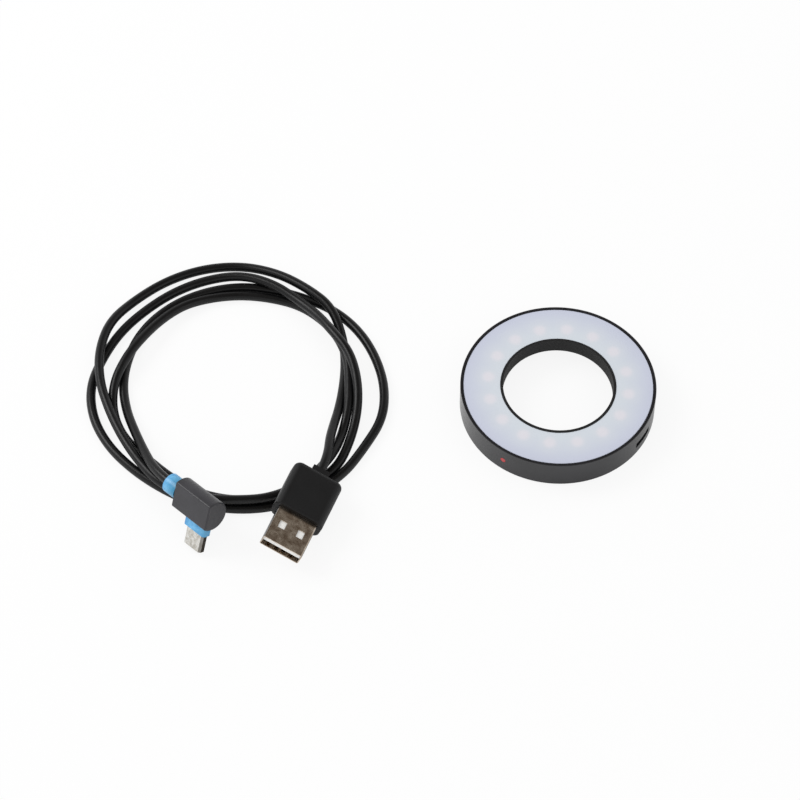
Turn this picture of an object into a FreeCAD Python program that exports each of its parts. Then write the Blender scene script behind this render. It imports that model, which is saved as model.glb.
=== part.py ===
import FreeCAD, Part
import math
import os
import Sketcher
from FreeCAD import Placement, Rotation, Vector

# A macro LED ring light lying on its back, light side up, and its own USB lead coiled at its left.
# Origin at the centre of the ring's back face, Z along the optical axis, X to the right, millimetres.

os.makedirs("parts", exist_ok=True)
doc = FreeCAD.newDocument("RingLight")
sheet = doc.addObject("Spreadsheet::Sheet", "Sizes")

# Sizes that can be set by themselves
SIZES = {
    # ring housing
    "ring_diameter": 56.0,
    "ring_height": 9.2,
    "mouth_diameter": 31.6,
    "lens_diameter": 38.5,
    "lens_depth": 4.4,
    "web_thickness": 0.8,
    "outer_wall": 0.8,
    "ledge_width": 0.5,
    "lip_wall": 0.7,
    "recess_wall": 0.8,
    "floor_thickness": 0.9,
    "edge_chamfer": 0.3,
    "rim_chamfer": 0.12,
    "fit_gap": 0.1,
    # light engine
    "board_thickness": 1.0,
    "diffuser_thickness": 1.5,
    "diffuser_sink": 0.15,
    "led_count": 16,
    "led_inset": 1.75,
    "led_first": 13.8,
    "led_length": 3.5,
    "led_width": 2.8,
    "led_height": 0.8,
    "eye_diameter": 2.2,
    "eye_depth": 0.3,
    "eye_gap": 0.04,
    "well_gap": 0.5,
    "chip_gap": 0.8,
    "chip_length": 1.6,
    "chip_width": 0.8,
    "chip_height": 0.45,
    "screw_count": 4,
    "boss_inset": 0.75,
    "shank_diameter": 1.5,
    "shank_length": 3.4,
    "head_diameter": 3.0,
    "head_height": 0.8,
    "boss_wall": 0.85,
    "head_gap": 0.3,
    "capacitor_turn": 22.0,
    "capacitor_length": 3.2,
    "capacitor_width": 1.6,
    "capacitor_height": 1.4,
    # port and index dot
    "port_angle": -31.6,
    "port_gap": 0.175,
    "socket_gap": 0.05,
    "socket_wall": 0.25,
    "socket_room": 1.1,
    "tongue_width": 4.4,
    "tongue_height": 0.6,
    "block_share": 0.25,
    "tongue_share": 0.65,
    "contact_share": 0.8,
    "dot_angle": -125.2,
    "dot_diameter": 1.6,
    "dot_height": 4.7,
    "dot_depth": 0.4,
    # micro plug
    "micro_width": 6.85,
    "micro_height": 1.8,
    "micro_wall": 0.25,
    "micro_reach": 5.8,
    "micro_seat": 1.6,
    "micro_bevel": 0.6,
    "cover_length": 14.4,
    "cover_height": 7.6,
    "cover_depth": 7.2,
    "cover_low": 0.2,
    "cover_fillet": 0.6,
    "cover_chamfer": 0.35,
    "base_length": 8.4,
    "base_inset": 0.5,
    "base_depth": 2.9,
    "base_front": 0.5,
    "base_reach": 2.8,
    "base_sink": 3.0,
    "base_fillet": 0.8,
    "collar_diameter": 5.8,
    "collar_length": 4.6,
    "collar_front": 2.9,
    "collar_shift": 0.1,
    "core_diameter": 4.0,
    "core_gap": 0.05,
    "blade_height": 0.45,
    "blade_width": 5.0,
    "blade_inset": 0.8,
    "contact_pitch": 0.65,
    "contact_width": 0.3,
    "contact_height": 0.1,
    "contact_inset": 1.1,
    "latch_spread": 3.6,
    "latch_width": 0.8,
    "latch_height": 0.2,
    "latch_length": 4.0,
    "latch_start": 0.5,
    "hook_length": 1.4,
    "hook_rise": 0.25,
    "hook_gap": 0.12,
    # wide plug
    "shell_width": 12.0,
    "shell_height": 4.5,
    "shell_wall": 0.3,
    "shell_reach": 11.0,
    "shell_seat": 4.0,
    "shell_fillet": 0.5,
    "window_width": 2.0,
    "window_length": 2.5,
    "window_place": 5.95,
    "window_spread": 5.6,
    "dimple_diameter": 0.7,
    "dimple_spread": 1.3,
    "tray_height": 1.9,
    "tray_inset": 0.35,
    "strip_width": 1.0,
    "strip_length": 7.0,
    "strip_height": 0.15,
    "strip_inner": 1.0,
    "strip_outer": 3.5,
    "strip_inset": 1.0,
    "grip_width": 15.0,
    "grip_height": 7.6,
    "grip_length": 15.6,
    "grip_fillet": 2.2,
    "grip_shoulder": 1.6,
    "grip_edge": 0.3,
    "neck_width": 5.2,
    "neck_height": 4.0,
    "neck_length": 2.0,
    # lead
    "cable_diameter": 2.7,
    "cable_sides": 8,
    "coil_reach": 43.5,
    "coil_pitch": 3.3,
    "coil_start": 30.6,
    "coil_lean": 8.0,
    "coil_second": 42.3,
    "coil_third": 37.2,
    "coil_fourth": 33.9,
    "coil_aside": 20.5,
    "coil_forward": 5.0,
    "stack_height": 4.7,
    "table_gap": 0.1,
    # where the two plugs lie, from the middle of the coil
    "wide_right": 14.75,
    "wide_near": 60.49,
    "wide_height": 10.5,
    "wide_yaw": -21.5,
    "wide_pitch": -2.0,
    "wide_roll": 20.0,
    "micro_right": -6.94,
    "micro_near": 55.32,
    "micro_yaw": -45.74,
    "micro_pitch": -9.21,
    "micro_roll": -115.9,
}

# Sizes that follow from the ones above
DERIVED = {
    "mouth_radius": "mouth_diameter / 2",
    "lens_radius": "lens_diameter / 2",
    "lip_radius": "mouth_radius + lip_wall",
    "recess_radius": "lens_radius + recess_wall",
    "outer_radius": "ring_diameter / 2",
    "channel_radius": "outer_radius - outer_wall",
    "rear_radius": "channel_radius - ledge_width",
    "ledge_top": "lens_depth + web_thickness",
    "board_top": "ledge_top + board_thickness",
    "diffuser_top": "ring_height - diffuser_sink",
    "diffuser_base": "diffuser_top - diffuser_thickness",
    "reflector_height": "diffuser_base - board_top",
    "ring_inside": "lip_radius + fit_gap",
    "ring_outside": "channel_radius - fit_gap",
    "led_circle": "2 * (ring_inside + led_inset) + led_length",
    "led_radius": "led_circle / 2",
    "led_inside": "led_radius - led_length / 2",
    "led_outside": "led_radius + led_length / 2",
    "led_side": "led_width / 2",
    "eye_radius": "eye_diameter / 2",
    "eye_floor": "board_top + led_height - eye_depth",
    "fill_radius": "eye_radius - eye_gap",
    "fill_height": "eye_depth - eye_gap",
    "led_top": "board_top + led_height",
    "chip_inside": "led_outside + chip_gap",
    "chip_outside": "chip_inside + chip_width",
    "chip_side": "chip_length / 2",
    "well_inside": "led_inside - well_gap",
    "well_outside": "chip_outside + well_gap",
    "well_side": "led_side + well_gap",
    "screw_first": "led_first + 180 / led_count",
    "shank_radius": "shank_diameter / 2",
    "hole_radius": "shank_radius + socket_gap",
    "hole_depth": "shank_length - board_thickness + head_gap",
    "boss_radius": "hole_radius + boss_wall",
    "screw_circle": "2 * (rear_radius - boss_inset - boss_radius)",
    "screw_radius": "screw_circle / 2",
    "boss_height": "ledge_top - floor_thickness",
    "head_radius": "head_diameter / 2",
    "head_hole": "head_radius + head_gap",
    "shank_foot": "board_top - shank_length",
    "head_top": "board_top + head_height",
    "drive_foot": "head_top - head_height / 2",
    "drive_half": "head_radius * 0.62",
    "drive_side": "head_radius * 0.14",
    "capacitor_angle": "port_angle + capacitor_turn",
    "capacitor_half": "capacitor_length / 2",
    "capacitor_circle": "recess_radius + rear_radius",
    "capacitor_inside": "(capacitor_circle - capacitor_width) / 2",
    "capacitor_outside": "(capacitor_circle + capacitor_width) / 2",
    "socket_side": "micro_width / 2 + socket_gap + socket_wall",
    "socket_hole": "micro_width / 2 + socket_gap",
    "socket_middle": "ledge_top - socket_wall - socket_gap - micro_height / 2",
    "socket_low": "socket_middle - micro_height / 2 - socket_gap - socket_wall",
    "socket_floor": "socket_low + socket_wall",
    "socket_roof": "ledge_top - socket_wall",
    "socket_mouth": "sqrt((rear_radius - fit_gap)^2 - socket_side^2)",
    "socket_back": "recess_radius + socket_room",
    "socket_depth": "socket_mouth - socket_back",
    "block_side": "socket_hole - socket_gap",
    "block_low": "socket_floor + socket_gap",
    "block_top": "socket_roof - socket_gap",
    "tongue_side": "tongue_width / 2",
    "tongue_block": "socket_depth * block_share",
    "tongue_length": "socket_depth * tongue_share",
    "tongue_low": "socket_middle - tongue_height / 2",
    "tongue_top": "socket_middle + tongue_height / 2",
    "tongue_start": "socket_back + tongue_block",
    "tongue_foot": "tongue_low - contact_height",
    "port_side": "micro_width / 2 + port_gap",
    "port_low": "socket_middle - micro_height / 2 - port_gap",
    "port_top": "socket_middle + micro_height / 2 + port_gap",
    "port_start": "socket_mouth - 1",
    "port_length": "outer_radius - port_start + 1",
    "dot_radius": "dot_diameter / 2",
    "dot_start": "outer_radius - dot_depth",
    "dimple_radius": "dot_radius + socket_gap",
    "cover_top": "cover_low - cover_height",
    "cover_round": "(cover_height ^ 2 / 4 + cover_depth ^ 2) / (2 * cover_depth)",
    "cover_middle": "cover_low - cover_height / 2",
    "cover_centre": "cover_depth - cover_round",
    "base_start": "-base_inset",
    "base_end": "-base_inset - base_length",
    "base_back": "base_front + base_depth",
    "base_tip": "cover_low + base_reach",
    "base_foot": "cover_low - base_sink",
    "base_height": "base_reach + base_sink",
    "cut_start": "base_start + core_gap",
    "cut_end": "base_end - core_gap",
    "cut_front": "base_front - core_gap",
    "cut_back": "base_back + core_gap",
    "stem_seat": "cover_length - base_inset - base_length / 2",
    "collar_radius": "collar_diameter / 2",
    "collar_middle": "cover_middle - collar_shift",
    "collar_end": "-cover_length - collar_length",
    "stem_length": "-base_inset - base_length / 2 - collar_end",
    "core_radius": "core_diameter / 2",
    "core_hole": "core_radius + core_gap",
    "micro_middle": "base_start - base_length / 2",
    "micro_first": "micro_middle - micro_width / 2",
    "micro_last": "micro_middle + micro_width / 2",
    "micro_front": "base_front + (base_depth - micro_height) / 2",
    "micro_back": "micro_front + micro_height",
    "micro_start": "base_tip - micro_seat",
    "micro_length": "micro_reach + micro_seat",
    "seat_first": "micro_first - core_gap",
    "seat_last": "micro_last + core_gap",
    "seat_front": "micro_front - core_gap",
    "seat_back": "micro_back + core_gap",
    "bevel_first": "micro_first + micro_bevel",
    "bevel_last": "micro_last - micro_bevel",
    "bevel_front": "micro_front + micro_bevel",
    "inner_first": "micro_first + micro_wall",
    "inner_last": "micro_last - micro_wall",
    "inner_front": "micro_front + micro_wall",
    "inner_back": "micro_back - micro_wall",
    "inbevel_first": "inner_first + micro_bevel",
    "inbevel_last": "inner_last - micro_bevel",
    "inbevel_front": "inner_front + micro_bevel",
    "blade_first": "micro_middle - blade_width / 2",
    "blade_last": "micro_middle + blade_width / 2",
    "blade_front": "inner_front + core_gap",
    "blade_back": "blade_front + blade_height",
    "blade_length": "micro_length - blade_inset",
    "contact_first": "micro_middle - 2 * contact_pitch - contact_width / 2",
    "contact_last": "contact_first + contact_width",
    "contact_back": "blade_back + contact_height",
    "contact_length": "micro_reach - latch_start - contact_inset",
    "contact_span": "contact_pitch * 4",
    "spring_length": "tongue_length * contact_share",
    "leaf_top": "inner_back - core_gap",
    "leaf_low": "leaf_top - latch_height",
    "leaf_start": "base_tip + latch_start",
    "leaf_end": "leaf_start + latch_length",
    "hook_top": "micro_back + hook_rise",
    "hook_peak": "leaf_end - hook_length * 0.75",
    "hook_start": "leaf_end - hook_length",
    "hook_end": "leaf_end - hook_length * 0.1",
    "latch_near": "micro_middle + latch_spread / 2 - latch_width / 2",
    "latch_far": "micro_middle - latch_spread / 2 - latch_width / 2",
    "slot_start": "hook_start - hook_gap * 2",
    "slot_end": "leaf_end + hook_gap",
    "slot_near": "latch_near - hook_gap",
    "slot_near_end": "latch_near + latch_width + hook_gap",
    "slot_far": "latch_far - hook_gap",
    "slot_far_end": "latch_far + latch_width + hook_gap",
    "shell_side": "shell_width / 2",
    "shell_bore": "shell_side - shell_wall",
    "shell_floor": "-shell_height",
    "shell_roof": "-shell_wall",
    "shell_deep": "shell_wall - shell_height",
    "shell_length": "shell_reach + shell_seat",
    "shell_inround": "shell_fillet - shell_wall / 2",
    "shell_half": "shell_height / 2",
    "window_near": "window_spread / 2 - window_width / 2",
    "window_far": "window_spread / 2 + window_width / 2",
    "window_start": "window_place - window_length / 2",
    "window_end": "window_place + window_length / 2",
    "dimple_round": "dimple_diameter / 2",
    "dimple_near": "window_place - dimple_spread / 2",
    "dimple_far": "window_place + dimple_spread / 2",
    "tray_side": "shell_bore - core_gap",
    "tray_top": "shell_roof - core_gap",
    "tray_low": "tray_top - tray_height",
    "tray_length": "shell_length - tray_inset",
    "strip_low": "tray_low - strip_height",
    "strip_start": "tray_inset + strip_inset",
    "inner_near": "strip_inner - strip_width / 2",
    "inner_far": "strip_inner + strip_width / 2",
    "outer_near": "strip_outer - strip_width / 2",
    "outer_far": "strip_outer + strip_width / 2",
    "grip_side": "grip_width / 2",
    "grip_top": "grip_height / 2 - shell_half",
    "grip_low": "-grip_height / 2 - shell_half",
    "grip_end": "shell_reach + grip_length",
    "neck_side": "neck_width / 2",
    "neck_top": "neck_height / 2 - shell_half",
    "neck_low": "-neck_height / 2 - shell_half",
    "mouth_side": "shell_side + core_gap",
    "mouth_top": "core_gap",
    "mouth_low": "-shell_height - core_gap",
    "cable_radius": "cable_diameter / 2",
    "coil_centre": "-outer_radius - coil_aside - coil_reach",
}

row = 0
for name, value in SIZES.items():
    row += 1
    sheet.set("A%d" % row, name)
    sheet.set("B%d" % row, str(value))
    sheet.setAlias("B%d" % row, name)
for name, formula in DERIVED.items():
    row += 1
    sheet.set("A%d" % row, name)
    sheet.set("B%d" % row, "=" + formula)
    sheet.setAlias("B%d" % row, name)
doc.recompute()


def val(name):
    """The number behind a size's name; a leading minus turns it round."""
    if name.startswith("-"):
        return -float(sheet.get(name[1:]))
    return float(sheet.get(name))


def ref(name):
    """The expression that binds a property to a size."""
    if name.startswith("-"):
        return "-Sizes." + name[1:]
    return "Sizes." + name


def new_body(label):
    body = doc.addObject("PartDesign::Body", label)
    body.Label = label
    body.AllowCompound = True
    return body


def origin_item(body, role):
    return [item for item in body.Origin.OriginFeatures if item.Role == role][0]


def new_sketch(body, plane, name, lift=None, turn=None, spin=None):
    """A sketch on one of the body's planes: lifted along its normal, turned about its own Y, spun about Z."""
    sketch = body.newObject("Sketcher::SketchObject", name)
    sketch.AttachmentSupport = [(origin_item(body, plane), "")]
    sketch.MapMode = "FlatFace"
    if turn:
        angle = val(turn)
        sketch.AttachmentOffset = Placement(Vector(), Rotation(Vector(0, 1, 0), angle))
        sketch.setExpression("AttachmentOffset.Rotation.Angle", ref(turn))
    if lift and turn:
        sketch.setExpression("AttachmentOffset.Base.x", "%s * sin(%s * 1 deg)" % (ref(lift), ref(turn)))
        sketch.setExpression("AttachmentOffset.Base.z", "%s * cos(%s * 1 deg)" % (ref(lift), ref(turn)))
    elif lift:
        sketch.setExpression("AttachmentOffset.Base.z", ref(lift))
    if spin:
        sketch.AttachmentOffset = Placement(Vector(0, 0, val(lift)), Rotation(Vector(0, 0, 1), val(spin)))
        sketch.setExpression("AttachmentOffset.Rotation.Angle", ref(spin))
    return sketch


def hold(sketch, kind, item, point, name):
    """Ties one coordinate of a point to a size, or to the axis where the name is nought."""
    if name == "0":
        axis = -2 if kind == "DistanceX" else -1
        sketch.addConstraint(Sketcher.Constraint("PointOnObject", item, point, axis))
        return
    index = sketch.addConstraint(Sketcher.Constraint(kind, item, point, val(name)))
    sketch.setExpression("Constraints[%d]" % index, ref(name))


def outline(sketch, corners):
    """A closed run of straight lines through corners named by their sizes."""
    count = len(corners)
    first = sketch.GeometryCount
    spots = [Vector(0 if x == "0" else val(x), 0 if y == "0" else val(y), 0) for x, y in corners]
    for i in range(count):
        sketch.addGeometry(Part.LineSegment(spots[i], spots[(i + 1) % count]), False)
    for i in range(count):
        after = (i + 1) % count
        sketch.addConstraint(Sketcher.Constraint("Coincident", first + i, 2, first + after, 1))
    for i, (x, y) in enumerate(corners):
        hold(sketch, "DistanceX", first + i, 1, x)
        hold(sketch, "DistanceY", first + i, 1, y)


def box_outline(sketch, left, right, low, high):
    outline(sketch, [(left, low), (right, low), (right, high), (left, high)])


def circle(sketch, x, y, radius):
    spot = Vector(0 if x == "0" else val(x), 0 if y == "0" else val(y), 0)
    item = sketch.addGeometry(Part.Circle(spot, Vector(0, 0, 1), val(radius)), False)
    hold(sketch, "DistanceX", item, 3, x)
    hold(sketch, "DistanceY", item, 3, y)
    index = sketch.addConstraint(Sketcher.Constraint("Radius", item, val(radius)))
    sketch.setExpression("Constraints[%d]" % index, ref(radius))


def octagon(sketch, x, y, radius):
    """A regular eight-sided outline whose corners lie on a circle, two of its sides square to X."""
    spot = Vector(val(x), 0 if y == "0" else val(y), 0)
    ring = sketch.addGeometry(Part.Circle(spot, Vector(0, 0, 1), val(radius)), True)
    hold(sketch, "DistanceX", ring, 3, x)
    hold(sketch, "DistanceY", ring, 3, y)
    index = sketch.addConstraint(Sketcher.Constraint("Radius", ring, val(radius)))
    sketch.setExpression("Constraints[%d]" % index, ref(radius))
    turns = [math.radians(45 * i - 22.5) for i in range(8)]
    spots = [spot + Vector(math.cos(turn), math.sin(turn), 0) * val(radius) for turn in turns]
    first = ring + 1
    for i in range(8):
        sketch.addGeometry(Part.LineSegment(spots[i], spots[(i + 1) % 8]), False)
    for i in range(8):
        sketch.addConstraint(Sketcher.Constraint("Coincident", first + i, 2, first + (i + 1) % 8, 1))
        sketch.addConstraint(Sketcher.Constraint("PointOnObject", first + i, 1, ring))
    for i in range(1, 8):
        sketch.addConstraint(Sketcher.Constraint("Equal", first, first + i))
    sketch.addConstraint(Sketcher.Constraint("Vertical", first))


def feature(body, kind, name, sketch, length=None, back=False):
    item = body.newObject("PartDesign::" + kind, name)
    item.Profile = sketch
    if length:
        item.setExpression("Length", ref(length))
    if back:
        item.Reversed = True
    sketch.Visibility = False
    body.Tip = item
    return item


def turned(body, name, sketch):
    item = body.newObject("PartDesign::Revolution", name)
    item.Profile = sketch
    item.ReferenceAxis = (sketch, ["V_Axis"])
    item.Angle = 360
    sketch.Visibility = False
    body.Tip = item
    return item


def round_about(body, name, originals, count):
    item = body.newObject("PartDesign::PolarPattern", name)
    item.Originals = originals
    item.Axis = (origin_item(body, "Z_Axis"), [""])
    item.Angle = 360
    item.setExpression("Occurrences", ref(count))
    body.Tip = item
    return item


def in_line(body, name, originals, axis, length, count):
    item = body.newObject("PartDesign::LinearPattern", name)
    item.Originals = originals
    item.Direction = (origin_item(body, axis), [""])
    item.setExpression("Length", ref(length))
    item.Occurrences = count
    body.Tip = item
    return item


def edge_names(item, test):
    """Names of the edges of a feature that pass a test."""
    return ["Edge%d" % (i + 1) for i, edge in enumerate(item.Shape.Edges) if test(edge)]


def dress(body, kind, name, base, test, size):
    """A fillet or chamfer on the edges that pass the test."""
    doc.recompute()
    item = body.newObject("PartDesign::" + kind, name)
    item.Base = (base, edge_names(base, test))
    item.setExpression("Radius" if kind == "Fillet" else "Size", ref(size))
    body.Tip = item
    return item


def near(a, b):
    return abs(a - b) < 1e-4


def at_ring(radius, height):
    """Test for a full circle about the Z axis of this radius at this height."""
    def test(edge):
        curve = edge.Curve
        if not isinstance(curve, Part.Circle):
            return False
        return near(curve.Radius, val(radius)) and near(curve.Center.z, val(height) if height != "0" else 0)
    return test


def along(direction):
    """Test for straight edges that run along a direction."""
    def test(edge):
        if not isinstance(edge.Curve, Part.Line):
            return False
        return abs(edge.tangentAt(edge.FirstParameter).dot(direction)) > 0.999
    return test


# Housing: turned channel with a front lip, a lens recess behind it and two seats for the board
housing = new_body("housing")
sketch = new_sketch(housing, "XZ_Plane", "HousingProfile")
outline(sketch, [
    ("outer_radius", "0"),
    ("outer_radius", "ring_height"),
    ("channel_radius", "ring_height"),
    ("channel_radius", "ledge_top"),
    ("rear_radius", "ledge_top"),
    ("rear_radius", "floor_thickness"),
    ("recess_radius", "floor_thickness"),
    ("recess_radius", "ledge_top"),
    ("lip_radius", "ledge_top"),
    ("lip_radius", "ring_height"),
    ("mouth_radius", "ring_height"),
    ("mouth_radius", "lens_depth"),
    ("lens_radius", "lens_depth"),
    ("lens_radius", "0"),
])
channel = turned(housing, "HousingTurned", sketch)
sketch = new_sketch(housing, "XY_Plane", "BossCircle", "floor_thickness", spin="screw_first")
octagon(sketch, "screw_radius", "0", "boss_radius")
boss = feature(housing, "Pad", "Boss", sketch, "boss_height")
sketch = new_sketch(housing, "XY_Plane", "BossHoleCircle", "ledge_top", spin="screw_first")
octagon(sketch, "screw_radius", "0", "hole_radius")
boss_hole = feature(housing, "Pocket", "BossHole", sketch, "hole_depth")
round_about(housing, "Bosses", [boss, boss_hole], "screw_count")
sketch = new_sketch(housing, "YZ_Plane", "PortOutline", "port_start", "port_angle")
box_outline(sketch, "-port_side", "port_side", "port_low", "port_top")
port = feature(housing, "Pocket", "PortWindow", sketch, "port_length", True)
sketch = new_sketch(housing, "YZ_Plane", "DimpleCircle", "dot_start", "dot_angle")
circle(sketch, "0", "dot_height", "dimple_radius")
dimple = feature(housing, "Pocket", "DotDimple", sketch, "dot_depth", True)
dimple.setExpression("Length", "Sizes.dot_depth + 1")
chamfer = dress(housing, "Chamfer", "BackEdge", dimple, at_ring("outer_radius", "0"), "edge_chamfer")
dress(housing, "Chamfer", "FrontEdge", chamfer, at_ring("outer_radius", "ring_height"), "rim_chamfer")

# Board, on the housing's two ledges
led_board = new_body("led_board")
sketch = new_sketch(led_board, "XY_Plane", "BoardRing", "ledge_top")
circle(sketch, "0", "0", "ring_outside")
circle(sketch, "0", "0", "ring_inside")
feature(led_board, "Pad", "Board", sketch, "board_thickness")
sketch = new_sketch(led_board, "XY_Plane", "BoardHoleCircle", "board_top", spin="screw_first")
octagon(sketch, "screw_radius", "0", "hole_radius")
board_hole = feature(led_board, "Pocket", "BoardHole", sketch, "board_thickness")
round_about(led_board, "BoardHoles", [board_hole], "screw_count")

# LED bodies, each with a cavity for its lamp, and the fill in that cavity, both eight-sided
led_packages = new_body("led_packages")
sketch = new_sketch(led_packages, "XY_Plane", "LedOutline", "board_top", spin="led_first")
box_outline(sketch, "led_inside", "led_outside", "-led_side", "led_side")
led = feature(led_packages, "Pad", "Led", sketch, "led_height")
sketch = new_sketch(led_packages, "XY_Plane", "EyeCircle", "led_top", spin="led_first")
octagon(sketch, "led_radius", "0", "eye_radius")
eye = feature(led_packages, "Pocket", "Eye", sketch, "eye_depth")
round_about(led_packages, "Leds", [led, eye], "led_count")

led_phosphors = new_body("led_phosphors")
sketch = new_sketch(led_phosphors, "XY_Plane", "FillCircle", "eye_floor", spin="led_first")
octagon(sketch, "led_radius", "0", "fill_radius")
fill = feature(led_phosphors, "Pad", "Fill", sketch, "fill_height")
round_about(led_phosphors, "Fills", [fill], "led_count")

led_resistors = new_body("led_resistors")
sketch = new_sketch(led_resistors, "XY_Plane", "ChipOutline", "board_top", spin="led_first")
box_outline(sketch, "chip_inside", "chip_outside", "-chip_side", "chip_side")
chip = feature(led_resistors, "Pad", "Chip", sketch, "chip_height")
round_about(led_resistors, "Chips", [chip], "led_count")

# Reflector, a white ring with a well round each LED and its resistor
reflector = new_body("reflector")
sketch = new_sketch(reflector, "XY_Plane", "ReflectorRing", "board_top")
circle(sketch, "0", "0", "ring_outside")
circle(sketch, "0", "0", "ring_inside")
feature(reflector, "Pad", "Reflector", sketch, "reflector_height")
sketch = new_sketch(reflector, "XY_Plane", "WellOutline", "diffuser_base", spin="led_first")
box_outline(sketch, "well_inside", "well_outside", "-well_side", "well_side")
well = feature(reflector, "Pocket", "Well", sketch, "reflector_height")
round_about(reflector, "Wells", [well], "led_count")
sketch = new_sketch(reflector, "XY_Plane", "HeadHoleCircle", "diffuser_base", spin="screw_first")
octagon(sketch, "screw_radius", "0", "head_hole")
head_hole = feature(reflector, "Pocket", "HeadHole", sketch, "reflector_height")
round_about(reflector, "HeadHoles", [head_hole], "screw_count")

# Diffuser, the opal ring that closes the channel
diffuser = new_body("diffuser")
sketch = new_sketch(diffuser, "XZ_Plane", "DiffuserProfile")
box_outline(sketch, "ring_inside", "ring_outside", "diffuser_base", "diffuser_top")
plate = turned(diffuser, "DiffuserTurned", sketch)
dress(diffuser, "Chamfer", "DiffuserEdge", plate, at_ring("ring_outside", "diffuser_top"), "rim_chamfer")

# Screws that hold the board to the bosses, eight-sided like their holes
board_screws = new_body("board_screws")
sketch = new_sketch(board_screws, "XY_Plane", "ShankCircle", "shank_foot", spin="screw_first")
octagon(sketch, "screw_radius", "0", "shank_radius")
shank = feature(board_screws, "Pad", "Shank", sketch, "shank_length")
sketch = new_sketch(board_screws, "XY_Plane", "HeadCircle", "board_top", spin="screw_first")
octagon(sketch, "screw_radius", "0", "head_radius")
head = feature(board_screws, "Pad", "Head", sketch, "head_height")
round_about(board_screws, "Screws", [shank, head], "screw_count")

# Input capacitor under the board, beside the socket
input_capacitor = new_body("input_capacitor")
sketch = new_sketch(input_capacitor, "XY_Plane", "CapacitorOutline", "ledge_top", spin="capacitor_angle")
box_outline(sketch, "capacitor_inside", "capacitor_outside", "-capacitor_half", "capacitor_half")
feature(input_capacitor, "Pad", "Capacitor", sketch, "capacitor_height", True)

# Socket: steel shell, insulator with its tongue, five contacts, all turned to the port's angle
usb_socket_shell = new_body("usb_socket_shell")
sketch = new_sketch(usb_socket_shell, "YZ_Plane", "SocketOutline", "socket_back", "port_angle")
box_outline(sketch, "-socket_side", "socket_side", "socket_low", "ledge_top")
box_outline(sketch, "-socket_hole", "socket_hole", "socket_floor", "socket_roof")
feature(usb_socket_shell, "Pad", "SocketTube", sketch, "socket_depth")

usb_socket_tongue = new_body("usb_socket_tongue")
sketch = new_sketch(usb_socket_tongue, "YZ_Plane", "BlockOutline", "socket_back", "port_angle")
box_outline(sketch, "-block_side", "block_side", "block_low", "block_top")
feature(usb_socket_tongue, "Pad", "Block", sketch, "tongue_block")
sketch = new_sketch(usb_socket_tongue, "YZ_Plane", "TongueOutline", "tongue_start", "port_angle")
box_outline(sketch, "-tongue_side", "tongue_side", "tongue_low", "tongue_top")
feature(usb_socket_tongue, "Pad", "Tongue", sketch, "tongue_length")

usb_socket_contacts = new_body("usb_socket_contacts")
for number in range(5):
    place = "(%d * Sizes.contact_pitch)" % (number - 2)
    title = "ContactOutline%d" % number
    sketch = new_sketch(usb_socket_contacts, "YZ_Plane", title, "tongue_start", "port_angle")
    middle = (number - 2) * val("contact_pitch")
    half = val("contact_width") / 2
    low = val("tongue_foot")
    high = val("tongue_low")
    spots = [Vector(middle - half, low, 0), Vector(middle + half, low, 0)]
    spots += [Vector(middle + half, high, 0), Vector(middle - half, high, 0)]
    for i in range(4):
        sketch.addGeometry(Part.LineSegment(spots[i], spots[(i + 1) % 4]), False)
    for i in range(4):
        sketch.addConstraint(Sketcher.Constraint("Coincident", i, 2, (i + 1) % 4, 1))
    for i, side in enumerate(("-", "+", "+", "-")):
        index = sketch.addConstraint(Sketcher.Constraint("DistanceX", i, 1, spots[i].x))
        sketch.setExpression("Constraints[%d]" % index, "%s %s Sizes.contact_width / 2" % (place, side))
        hold(sketch, "DistanceY", i, 1, "tongue_foot" if i < 2 else "tongue_low")
    feature(usb_socket_contacts, "Pad", "Contact%d" % number, sketch, "spring_length")

# Index dot, enamel in the wall's dimple
index_dot = new_body("index_dot")
sketch = new_sketch(index_dot, "YZ_Plane", "DotCircle", "dot_start", "dot_angle")
circle(sketch, "0", "dot_height", "dot_radius")
feature(index_dot, "Pad", "Dot", sketch, "dot_depth")

# Wide plug, modelled with its tip at the origin, X across, Y to the cable, Z up from the shell's top
usb_a_shell = new_body("usb_a_shell")
sketch = new_sketch(usb_a_shell, "XZ_Plane", "ShellOutline")
box_outline(sketch, "-shell_side", "shell_side", "shell_floor", "0")
tube = feature(usb_a_shell, "Pad", "ShellBar", sketch, "shell_length", True)
tube = dress(usb_a_shell, "Fillet", "ShellCorners", tube, along(Vector(0, 1, 0)), "shell_fillet")
sketch = new_sketch(usb_a_shell, "XZ_Plane", "ShellHollow")
box_outline(sketch, "-shell_bore", "shell_bore", "shell_deep", "shell_roof")
feature(usb_a_shell, "Pocket", "ShellBore", sketch, "shell_length")
sketch = new_sketch(usb_a_shell, "XY_Plane", "WindowOutlines")
box_outline(sketch, "window_near", "window_far", "window_start", "window_end")
box_outline(sketch, "-window_far", "-window_near", "window_start", "window_end")
feature(usb_a_shell, "Pocket", "Windows", sketch, "shell_height")
sketch = new_sketch(usb_a_shell, "XY_Plane", "DimpleCircles")
circle(sketch, "0", "dimple_near", "dimple_round")
circle(sketch, "0", "dimple_far", "dimple_round")
dimples = feature(usb_a_shell, "Pocket", "Dimples", sketch, "shell_wall")
dimples.setExpression("Length", "Sizes.shell_wall / 3")

usb_a_insulator = new_body("usb_a_insulator")
sketch = new_sketch(usb_a_insulator, "XZ_Plane", "TrayOutline", "-tray_inset")
box_outline(sketch, "-tray_side", "tray_side", "tray_low", "tray_top")
feature(usb_a_insulator, "Pad", "Tray", sketch, "tray_length", True)

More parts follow.
